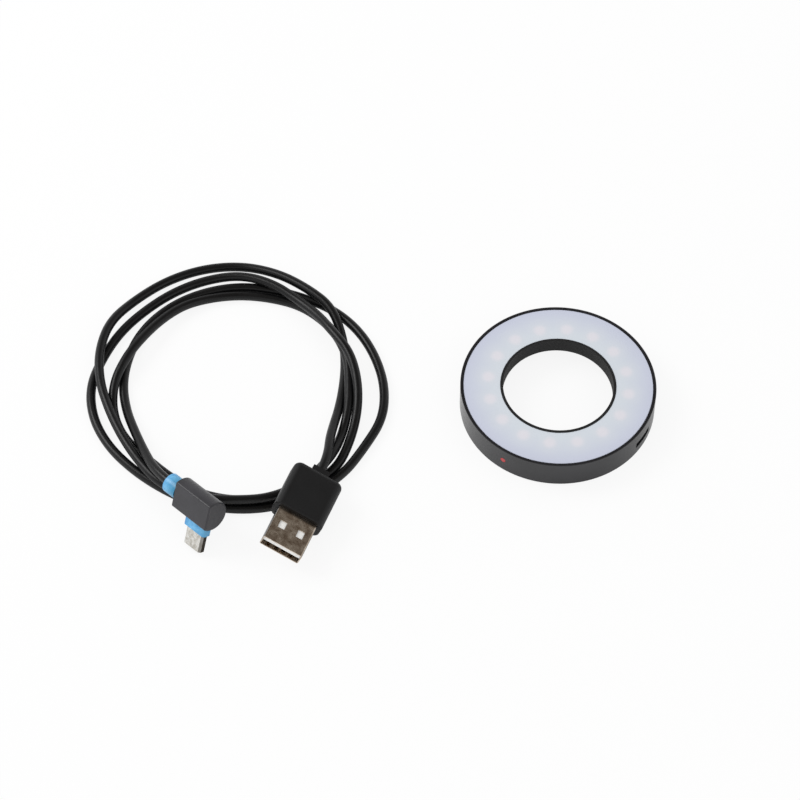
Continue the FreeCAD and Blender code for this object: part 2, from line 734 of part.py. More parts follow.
usb_a_contacts = new_body("usb_a_contacts")
sketch = new_sketch(usb_a_contacts, "XZ_Plane", "StripOutlines", "-strip_start")
box_outline(sketch, "inner_near", "inner_far", "strip_low", "tray_low")
box_outline(sketch, "-inner_far", "-inner_near", "strip_low", "tray_low")
box_outline(sketch, "outer_near", "outer_far", "strip_low", "tray_low")
box_outline(sketch, "-outer_far", "-outer_near", "strip_low", "tray_low")
feature(usb_a_contacts, "Pad", "Strips", sketch, "strip_length", True)

usb_a_overmould = new_body("usb_a_overmould")
sketch = new_sketch(usb_a_overmould, "XZ_Plane", "GripOutline", "-shell_reach")
box_outline(sketch, "-grip_side", "grip_side", "grip_low", "grip_top")
grip = feature(usb_a_overmould, "Pad", "Grip", sketch, "grip_length", True)
grip = dress(usb_a_overmould, "Fillet", "GripCorners", grip, along(Vector(0, 1, 0)), "grip_fillet")


def at_depth(name):
    """Test for edges that lie wholly at this distance from the plug's tip."""
    def test(edge):
        box = edge.BoundBox
        return near(box.YMin, val(name)) and near(box.YMax, val(name))
    return test


grip = dress(usb_a_overmould, "Fillet", "GripShoulder", grip, at_depth("grip_end"), "grip_shoulder")
grip = dress(usb_a_overmould, "Chamfer", "GripFront", grip, at_depth("shell_reach"), "grip_edge")
sketch = new_sketch(usb_a_overmould, "XZ_Plane", "NeckOutline", "-grip_end")
box_outline(sketch, "-neck_side", "neck_side", "neck_low", "neck_top")
feature(usb_a_overmould, "Pad", "Neck", sketch, "neck_length", True)
sketch = new_sketch(usb_a_overmould, "XZ_Plane", "ShellSeatOutline", "-shell_reach")
box_outline(sketch, "-mouth_side", "mouth_side", "mouth_low", "mouth_top")
feature(usb_a_overmould, "Pocket", "ShellSeat", sketch, "shell_seat")

# Micro plug, modelled with X from the cable to its far end, Y the way the metal points, Z to its back
micro_plug_cover = new_body("micro_plug_cover")
sketch = new_sketch(micro_plug_cover, "YZ_Plane", "CoverOutline", "-cover_length")
low = Vector(val("cover_low"), 0, 0)
top = Vector(val("cover_top"), 0, 0)
middle = Vector(val("cover_middle"), val("cover_centre"), 0)
back = Part.Circle(middle, Vector(0, 0, 1), val("cover_round"))
dip = math.atan2(val("cover_centre"), val("cover_height") / 2)
sketch.addGeometry(Part.LineSegment(top, low), False)
sketch.addGeometry(Part.ArcOfCircle(back, -dip, math.pi + dip), False)
sketch.addConstraint(Sketcher.Constraint("Coincident", 0, 2, 1, 1))
sketch.addConstraint(Sketcher.Constraint("Coincident", 1, 2, 0, 1))
hold(sketch, "DistanceX", 0, 1, "cover_top")
hold(sketch, "DistanceY", 0, 1, "0")
hold(sketch, "DistanceX", 0, 2, "cover_low")
hold(sketch, "DistanceY", 0, 2, "0")
hold(sketch, "DistanceY", 1, 3, "cover_centre")
cover = feature(micro_plug_cover, "Pad", "Cover", sketch, "cover_length")


def end_edge(edge):
    """An edge of the outline of one of the cover's ends."""
    return near(edge.BoundBox.XMin, edge.BoundBox.XMax)


cover = dress(micro_plug_cover, "Fillet", "CoverEdges", cover, along(Vector(1, 0, 0)), "cover_fillet")
dress(micro_plug_cover, "Chamfer", "CoverEnds", cover, end_edge, "cover_chamfer")
sketch = new_sketch(micro_plug_cover, "XZ_Plane", "CoreSeatOutline", "-base_foot")
box_outline(sketch, "cut_end", "cut_start", "cut_front", "cut_back")
feature(micro_plug_cover, "Pocket", "CoreSeat", sketch, "base_height")
sketch = new_sketch(micro_plug_cover, "YZ_Plane", "StemSeatCircle", "-cover_length")
circle(sketch, "collar_middle", "collar_front", "core_hole")
feature(micro_plug_cover, "Pocket", "StemSeat", sketch, "stem_seat", True)

micro_plug_core = new_body("micro_plug_core")
sketch = new_sketch(micro_plug_core, "XZ_Plane", "BaseOutline", "-base_foot")
box_outline(sketch, "base_end", "base_start", "base_front", "base_back")
base = feature(micro_plug_core, "Pad", "Base", sketch, "base_height", True)
base = dress(micro_plug_core, "Fillet", "BaseCorners", base, along(Vector(0, 1, 0)), "base_fillet")
sketch = new_sketch(micro_plug_core, "YZ_Plane", "StemCircle", "collar_end")
circle(sketch, "collar_middle", "collar_front", "core_radius")
feature(micro_plug_core, "Pad", "Stem", sketch, "stem_length")
sketch = new_sketch(micro_plug_core, "YZ_Plane", "CollarOutline", "collar_end")
circle(sketch, "collar_middle", "collar_front", "collar_radius")
feature(micro_plug_core, "Pad", "Collar", sketch, "collar_length")
sketch = new_sketch(micro_plug_core, "XZ_Plane", "MetalSeatOutline", "-base_tip")
box_outline(sketch, "seat_first", "seat_last", "seat_front", "seat_back")
feature(micro_plug_core, "Pocket", "MetalSeat", sketch, "micro_seat", True)

micro_plug_shell = new_body("micro_plug_shell")
sketch = new_sketch(micro_plug_shell, "XZ_Plane", "MetalOutline", "-micro_start")
outline(sketch, [
    ("bevel_first", "micro_front"),
    ("bevel_last", "micro_front"),
    ("micro_last", "bevel_front"),
    ("micro_last", "micro_back"),
    ("micro_first", "micro_back"),
    ("micro_first", "bevel_front"),
])
outline(sketch, [
    ("inbevel_first", "inner_front"),
    ("inbevel_last", "inner_front"),
    ("inner_last", "inbevel_front"),
    ("inner_last", "inner_back"),
    ("inner_first", "inner_back"),
    ("inner_first", "inbevel_front"),
])
feature(micro_plug_shell, "Pad", "MetalTube", sketch, "micro_length", True)
sketch = new_sketch(micro_plug_shell, "XY_Plane", "HookSlotOutlines", "leaf_top")
box_outline(sketch, "slot_near", "slot_near_end", "slot_start", "slot_end")
box_outline(sketch, "slot_far", "slot_far_end", "slot_start", "slot_end")
feature(micro_plug_shell, "Pocket", "HookSlots", sketch, "micro_wall", True)
doc.getObject("HookSlots").setExpression("Length", "Sizes.micro_wall * 2")

micro_plug_insulator = new_body("micro_plug_insulator")
sketch = new_sketch(micro_plug_insulator, "XZ_Plane", "BladeOutline", "-micro_start")
box_outline(sketch, "blade_first", "blade_last", "blade_front", "blade_back")
feature(micro_plug_insulator, "Pad", "Blade", sketch, "blade_length", True)

micro_plug_contacts = new_body("micro_plug_contacts")
sketch = new_sketch(micro_plug_contacts, "XZ_Plane", "PinOutline", "-leaf_start")
box_outline(sketch, "contact_first", "contact_last", "blade_back", "contact_back")
pin = feature(micro_plug_contacts, "Pad", "Pin", sketch, "contact_length", True)
in_line(micro_plug_contacts, "Pins", [pin], "X_Axis", "contact_span", 5)

# The two sprung hooks: a leaf under the metal's wide face and a tooth that stands out through its slot
latches = []
for label, place in (("micro_latch_right", "latch_near"), ("micro_latch_left", "latch_far")):
    latch = new_body(label)
    sketch = new_sketch(latch, "YZ_Plane", label + "_outline", place)
    outline(sketch, [
        ("leaf_start", "leaf_low"),
        ("leaf_end", "leaf_low"),
        ("leaf_end", "leaf_top"),
        ("hook_end", "leaf_top"),
        ("hook_peak", "hook_top"),
        ("hook_start", "hook_top"),
        ("hook_start", "leaf_top"),
        ("leaf_start", "leaf_top"),
    ])
    feature(latch, "Pad", label + "_bar", sketch, "latch_width")
    latches.append(latch)

doc.recompute()


# Where the two plugs lie beside the ring, from the middle of the coil
coil_middle = Vector(val("coil_centre"), val("coil_forward"), 0)
wide_turn = Rotation(Vector(0, 0, 1), val("wide_yaw")) * Rotation(Vector(1, 0, 0), val("wide_pitch"))
wide_turn = wide_turn * Rotation(Vector(0, 1, 0), val("wide_roll"))
wide_place = Vector(val("wide_right"), val("-wide_near"), val("wide_height"))
wide_pose = Placement(coil_middle + wide_place, wide_turn)
micro_turn = Rotation(Vector(0, 0, 1), val("micro_yaw")) * Rotation(Vector(0, 1, 0), val("micro_pitch"))
micro_turn = micro_turn * Rotation(Vector(1, 0, 0), val("micro_roll"))
# The micro plug rests on its metal's tip
tip_corners = [
    Vector(val(x), val("base_tip") + val("micro_reach"), val(z))
    for x in ("micro_first", "micro_last")
    for z in ("micro_front", "micro_back")
]
lift = val("table_gap") - min(micro_turn.multVec(corner).z for corner in tip_corners)
micro_place = Vector(val("micro_right"), val("-micro_near"), lift)
micro_pose = Placement(coil_middle + micro_place, micro_turn)
for body in (usb_a_shell, usb_a_insulator, usb_a_contacts, usb_a_overmould):
    body.Placement = wide_pose
micro_plug = [micro_plug_cover, micro_plug_core, micro_plug_shell, micro_plug_insulator, micro_plug_contacts]
micro_plug += latches
for body in micro_plug:
    body.Placement = micro_pose


# Lead: one cable from the wide plug's neck, in nearly four turns, to the micro plug's collar, as an
# eight-sided bar of the round cable's section
def arc_points(start, heading, end, count):
    """Points on the arc that leaves start along heading and reaches end."""
    chord = end - start
    side = chord - heading * chord.dot(heading)
    if side.Length < 1e-6:
        return [start + chord * (i / count) for i in range(count + 1)], 1e9
    radius = chord.dot(chord) / (2 * side.Length)
    side = side / side.Length
    sweep = 2 * math.asin(min(1.0, chord.Length / (2 * radius)))
    points = []
    for i in range(count + 1):
        angle = sweep * i / count
        points.append(start + heading * (radius * math.sin(angle)) + side * (radius * (1 - math.cos(angle))))
    return points, radius


def biarc_joint(start, heading, end, arrival):
    """Where two arcs meet that lead from start to end with the given directions, and the direction there."""
    gap = end - start
    both = heading + arrival
    turn = 2 * (1 - heading.dot(arrival))
    if turn < 1e-9:
        reach = gap.dot(gap) / (4 * gap.dot(arrival))
    else:
        reach = (-gap.dot(both) + math.sqrt(gap.dot(both) ** 2 + turn * gap.dot(gap))) / turn
    first = start + heading * reach
    last = end - arrival * reach
    joint = (first + last) / 2
    return joint, (joint - first) / (joint - first).Length


def slope(values, i):
    """Change per radian at a quarter-turn station, nought where the values stop rising or falling."""
    if i == 0 or i == len(values) - 1:
        return 0.0
    before = values[i] - values[i - 1]
    after = values[i + 1] - values[i]
    if before * after <= 0:
        return 0.0
    return (before + after) / math.pi


def station(reach, level, i):
    """Place and heading of the cable at the i-th quarter turn."""
    angle = math.radians(90 * i)
    out = Vector(math.cos(angle), math.sin(angle), 0)
    on = Vector(-math.sin(angle), math.cos(angle), 0)
    lean = val("coil_lean") if i == 0 else slope(reach, i)
    heading = on * reach[i] + out * lean + Vector(0, 0, slope(level, i))
    place = coil_middle + out * reach[i] + Vector(0, 0, level[i])
    return place, heading / heading.Length


wide = val("coil_reach")
pitch = val("coil_pitch")
second = wide - pitch
third = second - pitch
fourth = third - pitch
step = 2 * math.pi / val("cable_sides")
section = math.pi * val("cable_radius") ** 2
corner_reach = math.sqrt(2 * section / (val("cable_sides") * math.sin(step)))
table = corner_reach
stack = val("stack_height")
# Distance from the coil's middle at right, far, left and near, turn by turn: the first turn crosses over
# the others on its way out, and the rest lie side by side on the table
REACH = [val("coil_start")] + [wide] * 3
REACH += [val("coil_second")] + [second] * 3
REACH += [val("coil_third")] + [third] * 3
REACH += [val("coil_fourth")] + [fourth] * 2
LEVEL = [stack, stack] + [table] * 12 + [stack]
HALF_STEPS = 12

stops = [(wide_pose.multVec(Vector(0, val("grip_end") + val("neck_length"), -val("shell_half"))),
          wide_turn.multVec(Vector(0, 1, 0)))]
stops += [station(REACH, LEVEL, i) for i in range(len(REACH))]
stops.append((micro_pose.multVec(Vector(val("collar_end"), val("collar_middle"), val("collar_front"))),
              micro_turn.multVec(Vector(1, 0, 0))))
edges = []
route = [stops[0][0]]
radii = []
for (start, heading), (end, arrival) in zip(stops, stops[1:]):
    joint, through = biarc_joint(start, heading, end, arrival)
    for a, way, b in ((start, heading, joint), (joint, through, end)):
        points, radius = arc_points(a, way, b, 2 * HALF_STEPS)
        edges.append(Part.Arc(a, points[HALF_STEPS], b).toShape())
        route += points[1:]
        radii.append(radius)
spine = Part.Wire(edges)

# Section of the cable, square to its first heading, with flat sides below and above
root, ahead = stops[0]
across = ahead.cross(Vector(0, 0, 1)).normalize()
above = across.cross(ahead)
corners = []
for i in range(int(val("cable_sides")) + 1):
    turn = (i + 0.5) * step
    corners.append(root + across * (corner_reach * math.cos(turn)) + above * (corner_reach * math.sin(turn)))
rim = Part.makePolygon(corners)
lead_cable = doc.addObject("Part::Feature", "lead_cable")
lead_cable.Label = "lead_cable"
lead_cable.Shape = spine.makePipeShell([rim], True, False)

# Least gap of the cable to itself, measured between points more than four and a half diameters apart along it
runs = [0.0]
for a, b in zip(route, route[1:]):
    runs.append(runs[-1] + (b - a).Length)
least = 1e9
for i in range(0, len(route), 2):
    for j in range(i + 2, len(route)):
        if runs[j] - runs[i] > 4.5 * val("cable_diameter"):
            least = min(least, (route[j] - route[i]).Length)
print("cable length %.1f mm, least bend radius %.1f mm" % (spine.Length, min(radii)))
print("least gap of the cable to itself %.3f mm" % (least - 2 * corner_reach))
swept = section * spine.Length
print("cable volume %.1f mm3, section times length %.1f mm3" % (lead_cable.Shape.Volume, swept))

doc.recompute()
nodes = [housing, diffuser, reflector, led_board, led_packages, led_phosphors, led_resistors, input_capacitor]
nodes += [board_screws, usb_socket_shell, usb_socket_tongue, usb_socket_contacts, index_dot, lead_cable]
nodes += [usb_a_overmould, usb_a_shell, usb_a_insulator, usb_a_contacts]
nodes += micro_plug
for item in doc.Objects:
    if "Invalid" in item.State or "Error" in item.State:
        raise RuntimeError("not built: " + item.Name)
for node in nodes:
    shape = node.Shape
    if shape.isNull() or not shape.isValid():
        raise RuntimeError("bad shape: " + node.Label)
    print("%-22s solids %2d  volume %9.3f mm3  z %.2f to %.2f"
          % (node.Label, len(shape.Solids), shape.Volume, shape.BoundBox.ZMin, shape.BoundBox.ZMax))
    shape.exportStep("parts/%s.step" % node.Label)
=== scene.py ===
import math

import bmesh
import bpy
from bpy.props import FloatProperty, FloatVectorProperty, IntProperty, PointerProperty
from bpy.types import Operator, Panel, PropertyGroup
from mathutils import Matrix, Vector


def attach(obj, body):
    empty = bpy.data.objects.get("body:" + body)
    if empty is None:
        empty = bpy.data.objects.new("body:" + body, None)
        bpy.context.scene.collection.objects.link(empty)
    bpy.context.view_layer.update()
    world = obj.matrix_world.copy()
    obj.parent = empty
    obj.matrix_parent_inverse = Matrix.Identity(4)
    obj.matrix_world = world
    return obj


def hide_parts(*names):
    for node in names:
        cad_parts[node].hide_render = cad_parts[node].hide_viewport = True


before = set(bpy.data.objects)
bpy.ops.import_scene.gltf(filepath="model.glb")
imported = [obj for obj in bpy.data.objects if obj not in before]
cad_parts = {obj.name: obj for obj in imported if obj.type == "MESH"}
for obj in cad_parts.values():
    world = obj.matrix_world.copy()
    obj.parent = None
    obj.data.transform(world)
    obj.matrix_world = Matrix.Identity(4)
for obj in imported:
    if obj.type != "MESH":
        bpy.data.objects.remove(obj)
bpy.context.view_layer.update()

bl_info = {
    "name": "Macro LED ring light",
    "version": (1, 0, 0),
    "blender": (4, 5, 0),
    "location": "3D View > Sidebar > Ring light",
    "description": "Finishes, coiled lead and studio for a macro LED ring light",
    "category": "Object",
}

MM = 0.001
ROOT = "ring_light"
WHITE = (1.0, 1.0, 1.0, 1.0)

# The lead's route from the large plug to the small one, in mm. A turn's points are an angle about the coil's
# middle, a reach and a height, 15 degrees apart, with one more point close to the large plug.
COIL_MIDDLE = (-92.0, 5.0)
PLUG_END = ((-67.52, -28.69, 7.39), (-66.6, -26.35, 7.3))
TURNS = (
    (
        (-45, 37.6, 6.8), (-38, 34.2, 5.6), (-30, 32.0, 4.0), (-15, 30.4, 1.9), (0, 30.5, 1.35),
        (15, 32.1, 1.35), (30, 34.9, 1.4), (45, 38.0, 4.1), (60, 38.9, 4.3), (75, 41.3, 3.4), (90, 43.9, 1.8),
        (105, 44.7, 1.35), (120, 44.6, 1.35), (135, 44.2, 1.6), (150, 43.9, 3.6), (165, 41.9, 4.3),
        (180, 39.7, 4.3), (195, 37.8, 4.2), (210, 37.5, 4.0), (225, 38.6, 3.9), (240, 41.3, 4.3),
        (255, 41.4, 4.0), (270, 41.1, 4.0), (285, 41.6, 3.8), (300, 40.4, 4.05),
    ),
    (
        (-45, 38.1, 3.9), (-30, 34.9, 1.35), (-15, 33.2, 2.95), (0, 32.2, 3.7), (15, 32.8, 4.1),
        (30, 32.8, 4.4), (45, 33.6, 2.4), (60, 34.2, 1.35), (75, 33.4, 1.35), (90, 33.3, 1.35),
        (105, 33.3, 1.6), (120, 33.2, 2.6), (135, 32.4, 3.4), (150, 32.2, 4.2), (165, 33.4, 4.6),
        (180, 35.8, 3.1), (195, 36.9, 1.35), (210, 36.7, 1.35), (225, 35.5, 1.35), (240, 36.4, 1.35),
        (255, 38.4, 1.35), (270, 39.5, 1.35), (285, 40.2, 1.35), (300, 40.3, 1.35),
    ),
    (
        (-45, 40.8, 1.35), (-30, 37.8, 1.5), (-15, 36.0, 3.1), (0, 34.6, 5.3), (15, 33.3, 7.2),
        (30, 31.3, 7.5), (45, 32.3, 5.6), (60, 33.7, 4.4), (75, 36.5, 4.4), (90, 39.4, 3.2),
        (105, 40.3, 1.5), (120, 39.8, 1.35), (135, 39.4, 1.35), (150, 40.1, 1.35), (165, 40.9, 1.35),
        (180, 42.7, 1.35), (195, 42.7, 1.35), (210, 41.8, 1.35), (225, 40.8, 1.35), (240, 40.8, 1.35),
        (255, 41.8, 1.35), (270, 42.5, 1.35), (285, 43.2, 1.35), (300, 43.2, 1.35),
    ),
    (
        (-45, 43.4, 1.35), (-30, 42.4, 1.35), (-15, 43.4, 1.35), (0, 42.5, 1.35), (15, 41.2, 1.35),
        (30, 40.3, 1.35), (45, 39.1, 1.35), (60, 37.3, 1.35), (75, 36.5, 1.35), (90, 36.5, 1.35),
        (105, 36.1, 1.35), (120, 35.8, 1.35), (135, 35.3, 1.35), (150, 34.6, 1.35), (165, 33.7, 1.35),
        (180, 33.2, 1.35), (195, 32.8, 1.6), (210, 33.4, 3.5), (225, 36.0, 5.4),
    ),
)
COLLAR_END = ((-113.7, -29.1, 8.4), (-109.23, -33.70, 9.44))

# How the plugs lie: the large one's turns about Z, X and Y in degrees and a point on its axis in mm, and the
# way that the small one's narrow side faces and the near corner of its cover in mm
LARGE_PLUG_TURNS = (-21.5, -2.0, 20.0)
LARGE_PLUG_PLACE = (-77.25, -55.49, 10.5)
SMALL_PLUG_SIDE = (0.6889, -0.7069, 0.1600)
SMALL_PLUG_PLACE = (-98.94, -50.32, 10.443)

# Distances from the ring's axis between which its body turns dull and darker with painted shade in the mouth
# and its window turns pale inwards, and the angle of its first lamp
MOUTH_FADE = (0.0170, 0.0162)
WINDOW_FADE = (0.0265, 0.0185)
FIRST_LAMP = math.radians(13.8)

FLOOR_REACH = 3.0  # half of the floor's side
FLOOR_DROP = 0.0001  # keeps the floor apart from the faces that stand on it
LAMP_AIM = (-0.045, 0.0, 0.0)
CAMERA_PLACE = (-0.0452, -0.5037, 0.7072)
CAMERA_ELEVATION = math.radians(54.47)
CAMERA_LENS = 135.7


class RingLightLead(PropertyGroup):
    """Sizes and colour of the coiled lead"""

    diameter: FloatProperty(name="Diameter", description="Outside diameter of the lead", default=0.0027,
                            min=0.001, max=0.006, unit="LENGTH")
    length: FloatProperty(name="Length", description="Length of the lead between its plugs", default=0.916,
                          min=0.3, max=3.0, unit="LENGTH")
    steps: IntProperty(name="Steps", description="Rings of faces between two points of the route", default=10,
                       min=4, max=24)
    jacket: FloatVectorProperty(name="Jacket", description="Colour of the lead's jacket", subtype="COLOR",
                                default=(0.005, 0.005, 0.0056), min=0.0, max=1.0)


class RingLightFinish(PropertyGroup):
    """Colours of the ring and the plugs"""

    body: FloatVectorProperty(name="Body", description="Anodised body of the ring", subtype="COLOR",
                              default=(0.015, 0.015, 0.0175), min=0.0, max=1.0)
    window: FloatVectorProperty(name="Window", description="Frosted window over the lamps", subtype="COLOR",
                                default=(0.60, 0.63, 0.75), min=0.0, max=1.0)
    lamp_spot: FloatVectorProperty(name="Lamp spot", description="Pale spot that a lamp makes in the window",
                                   subtype="COLOR", default=(0.795, 0.765, 0.815), min=0.0, max=1.0)
    lamps: IntProperty(name="Lamps", description="Lamps round the ring", default=16, min=4, max=48)
    lamp_circle: FloatProperty(name="Lamp circle", description="Radius of the circle that the lamps stand on",
                               default=0.0201, min=0.005, max=0.1, unit="LENGTH")
    grip: FloatVectorProperty(name="Grip", description="Moulded grip of the large plug", subtype="COLOR",
                              default=(0.005, 0.005, 0.0056), min=0.0, max=1.0)
    accent: FloatVectorProperty(name="Accent", description="Blue core of the small plug", subtype="COLOR",
                                default=(0.24, 0.62, 0.93), min=0.0, max=1.0)
    accent_deep: FloatVectorProperty(name="Deep accent", description="Deeper blotches in the blue core",
                                     subtype="COLOR", default=(0.02, 0.25, 0.60), min=0.0, max=1.0)


class RingLightStudio(PropertyGroup):
    """Lamps and background of the studio"""

    key_power: FloatProperty(name="Key light", description="Power of the large lamp on the left",
                             default=3.8, min=0.0, max=50.0, unit="POWER")
    fill_power: FloatProperty(name="Fill light", description="Power of the small lamp on the right",
                              default=0.4, min=0.0, max=50.0, unit="POWER")
    surround: FloatProperty(name="Surround", description="Brightness of the studio's pale walls",
                            default=0.73, min=0.0, max=2.0)


def fill(tree, node, values):
    """Sets a node's input sockets to numbers, or links them to other sockets."""
    for label, value in values.items():
        if isinstance(value, bpy.types.NodeSocket):
            tree.links.new(value, node.inputs[label])
        else:
            node.inputs[label].default_value = value


def add_node(tree, kind, values, **settings):
    """A new shader node of the kind, with its settings and its input sockets filled."""
    node = tree.nodes.new("ShaderNode" + kind)
    for name, setting in settings.items():
        setattr(node, name, setting)
    fill(tree, node, values)
    return node


def maths(tree, way, first, second=0.0):
    """What a math node makes of one or two values."""
    return add_node(tree, "Math", {0: first, 1: second}, operation=way).outputs[0]


def ramp(tree, value, low, high, first=0.0, last=1.0, shape="LINEAR"):
    """The value carried from between low and high to between first and last, and held at either end."""
    return add_node(tree, "MapRange", {"Value": value, "From Min": low, "From Max": high, "To Min": first,
                                       "To Max": last}, interpolation_type=shape).outputs[0]


def blend(tree, mask, first, second):
    """The first colour, and the second where the mask is one."""
    mixed = add_node(tree, "Mix", {"Factor": mask, "A": first, "B": second}, data_type="RGBA")
    return mixed.outputs["Result"]


def flat_length(tree, x, y):
    """The length of a vector that has no height."""
    flat = add_node(tree, "CombineXYZ", {"X": x, "Y": y, "Z": 0.0})
    return add_node(tree, "VectorMath", {0: flat.outputs[0]}, operation="LENGTH").outputs["Value"]


def new_group(name, inputs, outputs):
    """An empty shader node group, with what its inputs give and what its outputs take."""
    group = bpy.data.node_groups.new(name, "ShaderNodeTree")
    for label, kind, default in inputs:
        socket = group.interface.new_socket(name=label, in_out="INPUT", socket_type="NodeSocket" + kind)
        if default is not None:
            socket.default_value = default
    for label, kind in outputs:
        group.interface.new_socket(name=label, in_out="OUTPUT", socket_type="NodeSocket" + kind)
    return group, group.nodes.new("NodeGroupInput").outputs, group.nodes.new("NodeGroupOutput")


def grain_group():
    """Fine grain under broad handling marks: colour, roughness and height that change over the surface."""
    group, given, out = new_group(
        "surface_grain",
        (("Vector", "Vector", None), ("Grain", "Float", 4000.0), ("Marks", "Float", 90.0),
         ("Dark", "Color", (0.0, 0.0, 0.0, 1.0)), ("Light", "Color", WHITE), ("Smooth", "Float", 0.3),
         ("Rough", "Float", 0.5)),
        (("Color", "Color"), ("Roughness", "Float"), ("Height", "Float")),
    )
    grain_share, marks_share = 0.4, 0.6
    grain = add_node(group, "TexNoise", {"Vector": given["Vector"], "Scale": given["Grain"], "Detail": 2.0,
                                         "Roughness": 0.55}).outputs["Fac"]
    marks = add_node(group, "TexNoise", {"Vector": given["Vector"], "Scale": given["Marks"], "Detail": 4.0,
                                         "Roughness": 0.6, "Distortion": 0.4}).outputs["Fac"]
    mixed = maths(group, "ADD", maths(group, "MULTIPLY", ramp(group, marks, 0.35, 0.68), marks_share),
                  maths(group, "MULTIPLY", grain, grain_share))
    fill(group, out, {
        "Color": blend(group, mixed, given["Dark"], given["Light"]),
        "Roughness": ramp(group, mixed, 0.0, 1.0, given["Smooth"], given["Rough"]),
        "Height": grain,
    })
    return group


def turned_group():
    """Fine circles about the ring's axis, as a lathe leaves them, and the distance from that axis."""
    group, given, out = new_group(
        "turned_lines", (("Vector", "Vector", None), ("Lines", "Float", 9000.0)),
        (("Mask", "Float"), ("Reach", "Float")),
    )
    drift = 60.0  # how fast a circle changes on its way round
    place = add_node(group, "SeparateXYZ", {"Vector": given["Vector"]}).outputs
    reach = flat_length(group, place["X"], place["Y"])
    line = add_node(group, "CombineXYZ", {
        "X": maths(group, "MULTIPLY", reach, given["Lines"]),
        "Y": maths(group, "MULTIPLY", place["Z"], given["Lines"]),
        "Z": maths(group, "MULTIPLY", place["X"], drift),
    })
    noise = add_node(group, "TexNoise", {"Vector": line.outputs[0], "Scale": 1.0, "Detail": 3.0})
    fill(group, out, {"Mask": noise.outputs["Fac"], "Reach": reach})
    return group


def spots_group():
    """Soft round spots, evenly round the ring's axis, and the distance from that axis."""
    group, given, out = new_group(
        "ring_of_spots",
        (("Vector", "Vector", None), ("Count", "Float", 16.0), ("First", "Float", FIRST_LAMP),
         ("Circle", "Float", 0.02), ("Core", "Float", 0.001), ("Fade", "Float", 0.003)),
        (("Mask", "Float"), ("Reach", "Float")),
    )
    place = add_node(group, "SeparateXYZ", {"Vector": given["Vector"]}).outputs
    reach = flat_length(group, place["X"], place["Y"])
    angle = maths(group, "ARCTAN2", place["Y"], place["X"])
    turn = maths(group, "DIVIDE", maths(group, "SUBTRACT", angle, given["First"]), math.tau)
    counted = maths(group, "ADD", maths(group, "MULTIPLY", turn, given["Count"]), 0.5)
    aside = maths(group, "SUBTRACT", maths(group, "FRACT", counted), 0.5)
    arc = maths(group, "DIVIDE", maths(group, "MULTIPLY", aside, math.tau), given["Count"])
    away = flat_length(group, maths(group, "MULTIPLY", arc, given["Circle"]),
                       maths(group, "SUBTRACT", reach, given["Circle"]))
    mask = ramp(group, away, given["Core"], given["Fade"], first=1.0, last=0.0, shape="SMOOTHERSTEP")
    fill(group, out, {"Mask": mask, "Reach": reach})
    return group


def side_group():
    """Masks of how far a vector goes along a direction: that way only, and that way or the other."""
    group, given, out = new_group(
        "side_mask",
        (("Vector", "Vector", None), ("Direction", "Vector", (1.0, 0.0, 0.0)), ("Low", "Float", 0.5),
         ("High", "Float", 0.9)),
        (("Mask", "Float"), ("Both", "Float")),
    )
    along = add_node(group, "VectorMath", {0: given["Vector"], 1: given["Direction"]},
                     operation="DOT_PRODUCT").outputs["Value"]
    fill(group, out, {
        "Mask": ramp(group, along, given["Low"], given["High"]),
        "Both": ramp(group, maths(group, "ABSOLUTE", along), given["Low"], given["High"]),
    })
    return group


EFFECTS = {"surface_grain": grain_group, "turned_lines": turned_group, "ring_of_spots": spots_group,
           "side_mask": side_group}


def effect(tree, name, **values):
    """A shared effect, built where it is first used, placed in a material with its own values."""
    node = tree.nodes.new("ShaderNodeGroup")
    node.node_tree = bpy.data.node_groups.get(name) or EFFECTS[name]()
    fill(tree, node, values)
    return node.outputs


def shade(colour, factor):
    """The colour made darker or lighter, with its alpha."""
    return tuple(min(1.0, part * factor) for part in colour[:3]) + (1.0,)


def bare_tree(block):
    """The emptied node tree of a new material or world."""
    block.use_nodes = True
    block.node_tree.nodes.clear()
    return block.node_tree


def new_finish(name, **uniform):
    """A material with one Principled shader: its tree, the shader and the object's coordinates."""
    material = bpy.data.materials.new(name)
    tree = bare_tree(material)
    shader = add_node(tree, "BsdfPrincipled", uniform)
    add_node(tree, "OutputMaterial", {"Surface": shader.outputs[0]})
    return material, tree, shader, tree.nodes.new("ShaderNodeTexCoord").outputs["Object"]


def lay_on(tree, shader, colour, rough, height, depth):
    """Gives the shader a colour, a roughness and a surface raised by a height from nought to one."""
    bump = add_node(tree, "Bump", {"Height": height, "Distance": depth, "Strength": 1.0})
    fill(tree, shader, {"Base Color": colour, "Roughness": rough, "Normal": bump.outputs[0]})


def plastic_finish(name, colour, smooth, rough, grain=3500.0, depth=0.00001, spread=0.25, marks=120.0,
                   **uniform):
    """Moulded plastic: a fine grained skin with slightly glossier patches."""
    material, tree, shader, place = new_finish(name, **uniform)
    skin = effect(tree, "surface_grain", Vector=place, Grain=grain, Marks=marks,
                  Dark=shade(colour, 1.0 - spread), Light=shade(colour, 1.0 + spread),
                  Smooth=smooth, Rough=rough)
    lay_on(tree, shader, skin["Color"], skin["Roughness"], skin["Height"], depth)
    return material


def metal_finish(name, colour, smooth, rough):
    """Plated or plain metal with fine scratches and dull patches."""
    return plastic_finish(name, colour, smooth, rough, grain=2500.0, depth=0.000004, spread=0.15, marks=260.0,
                          Metallic=1.0)


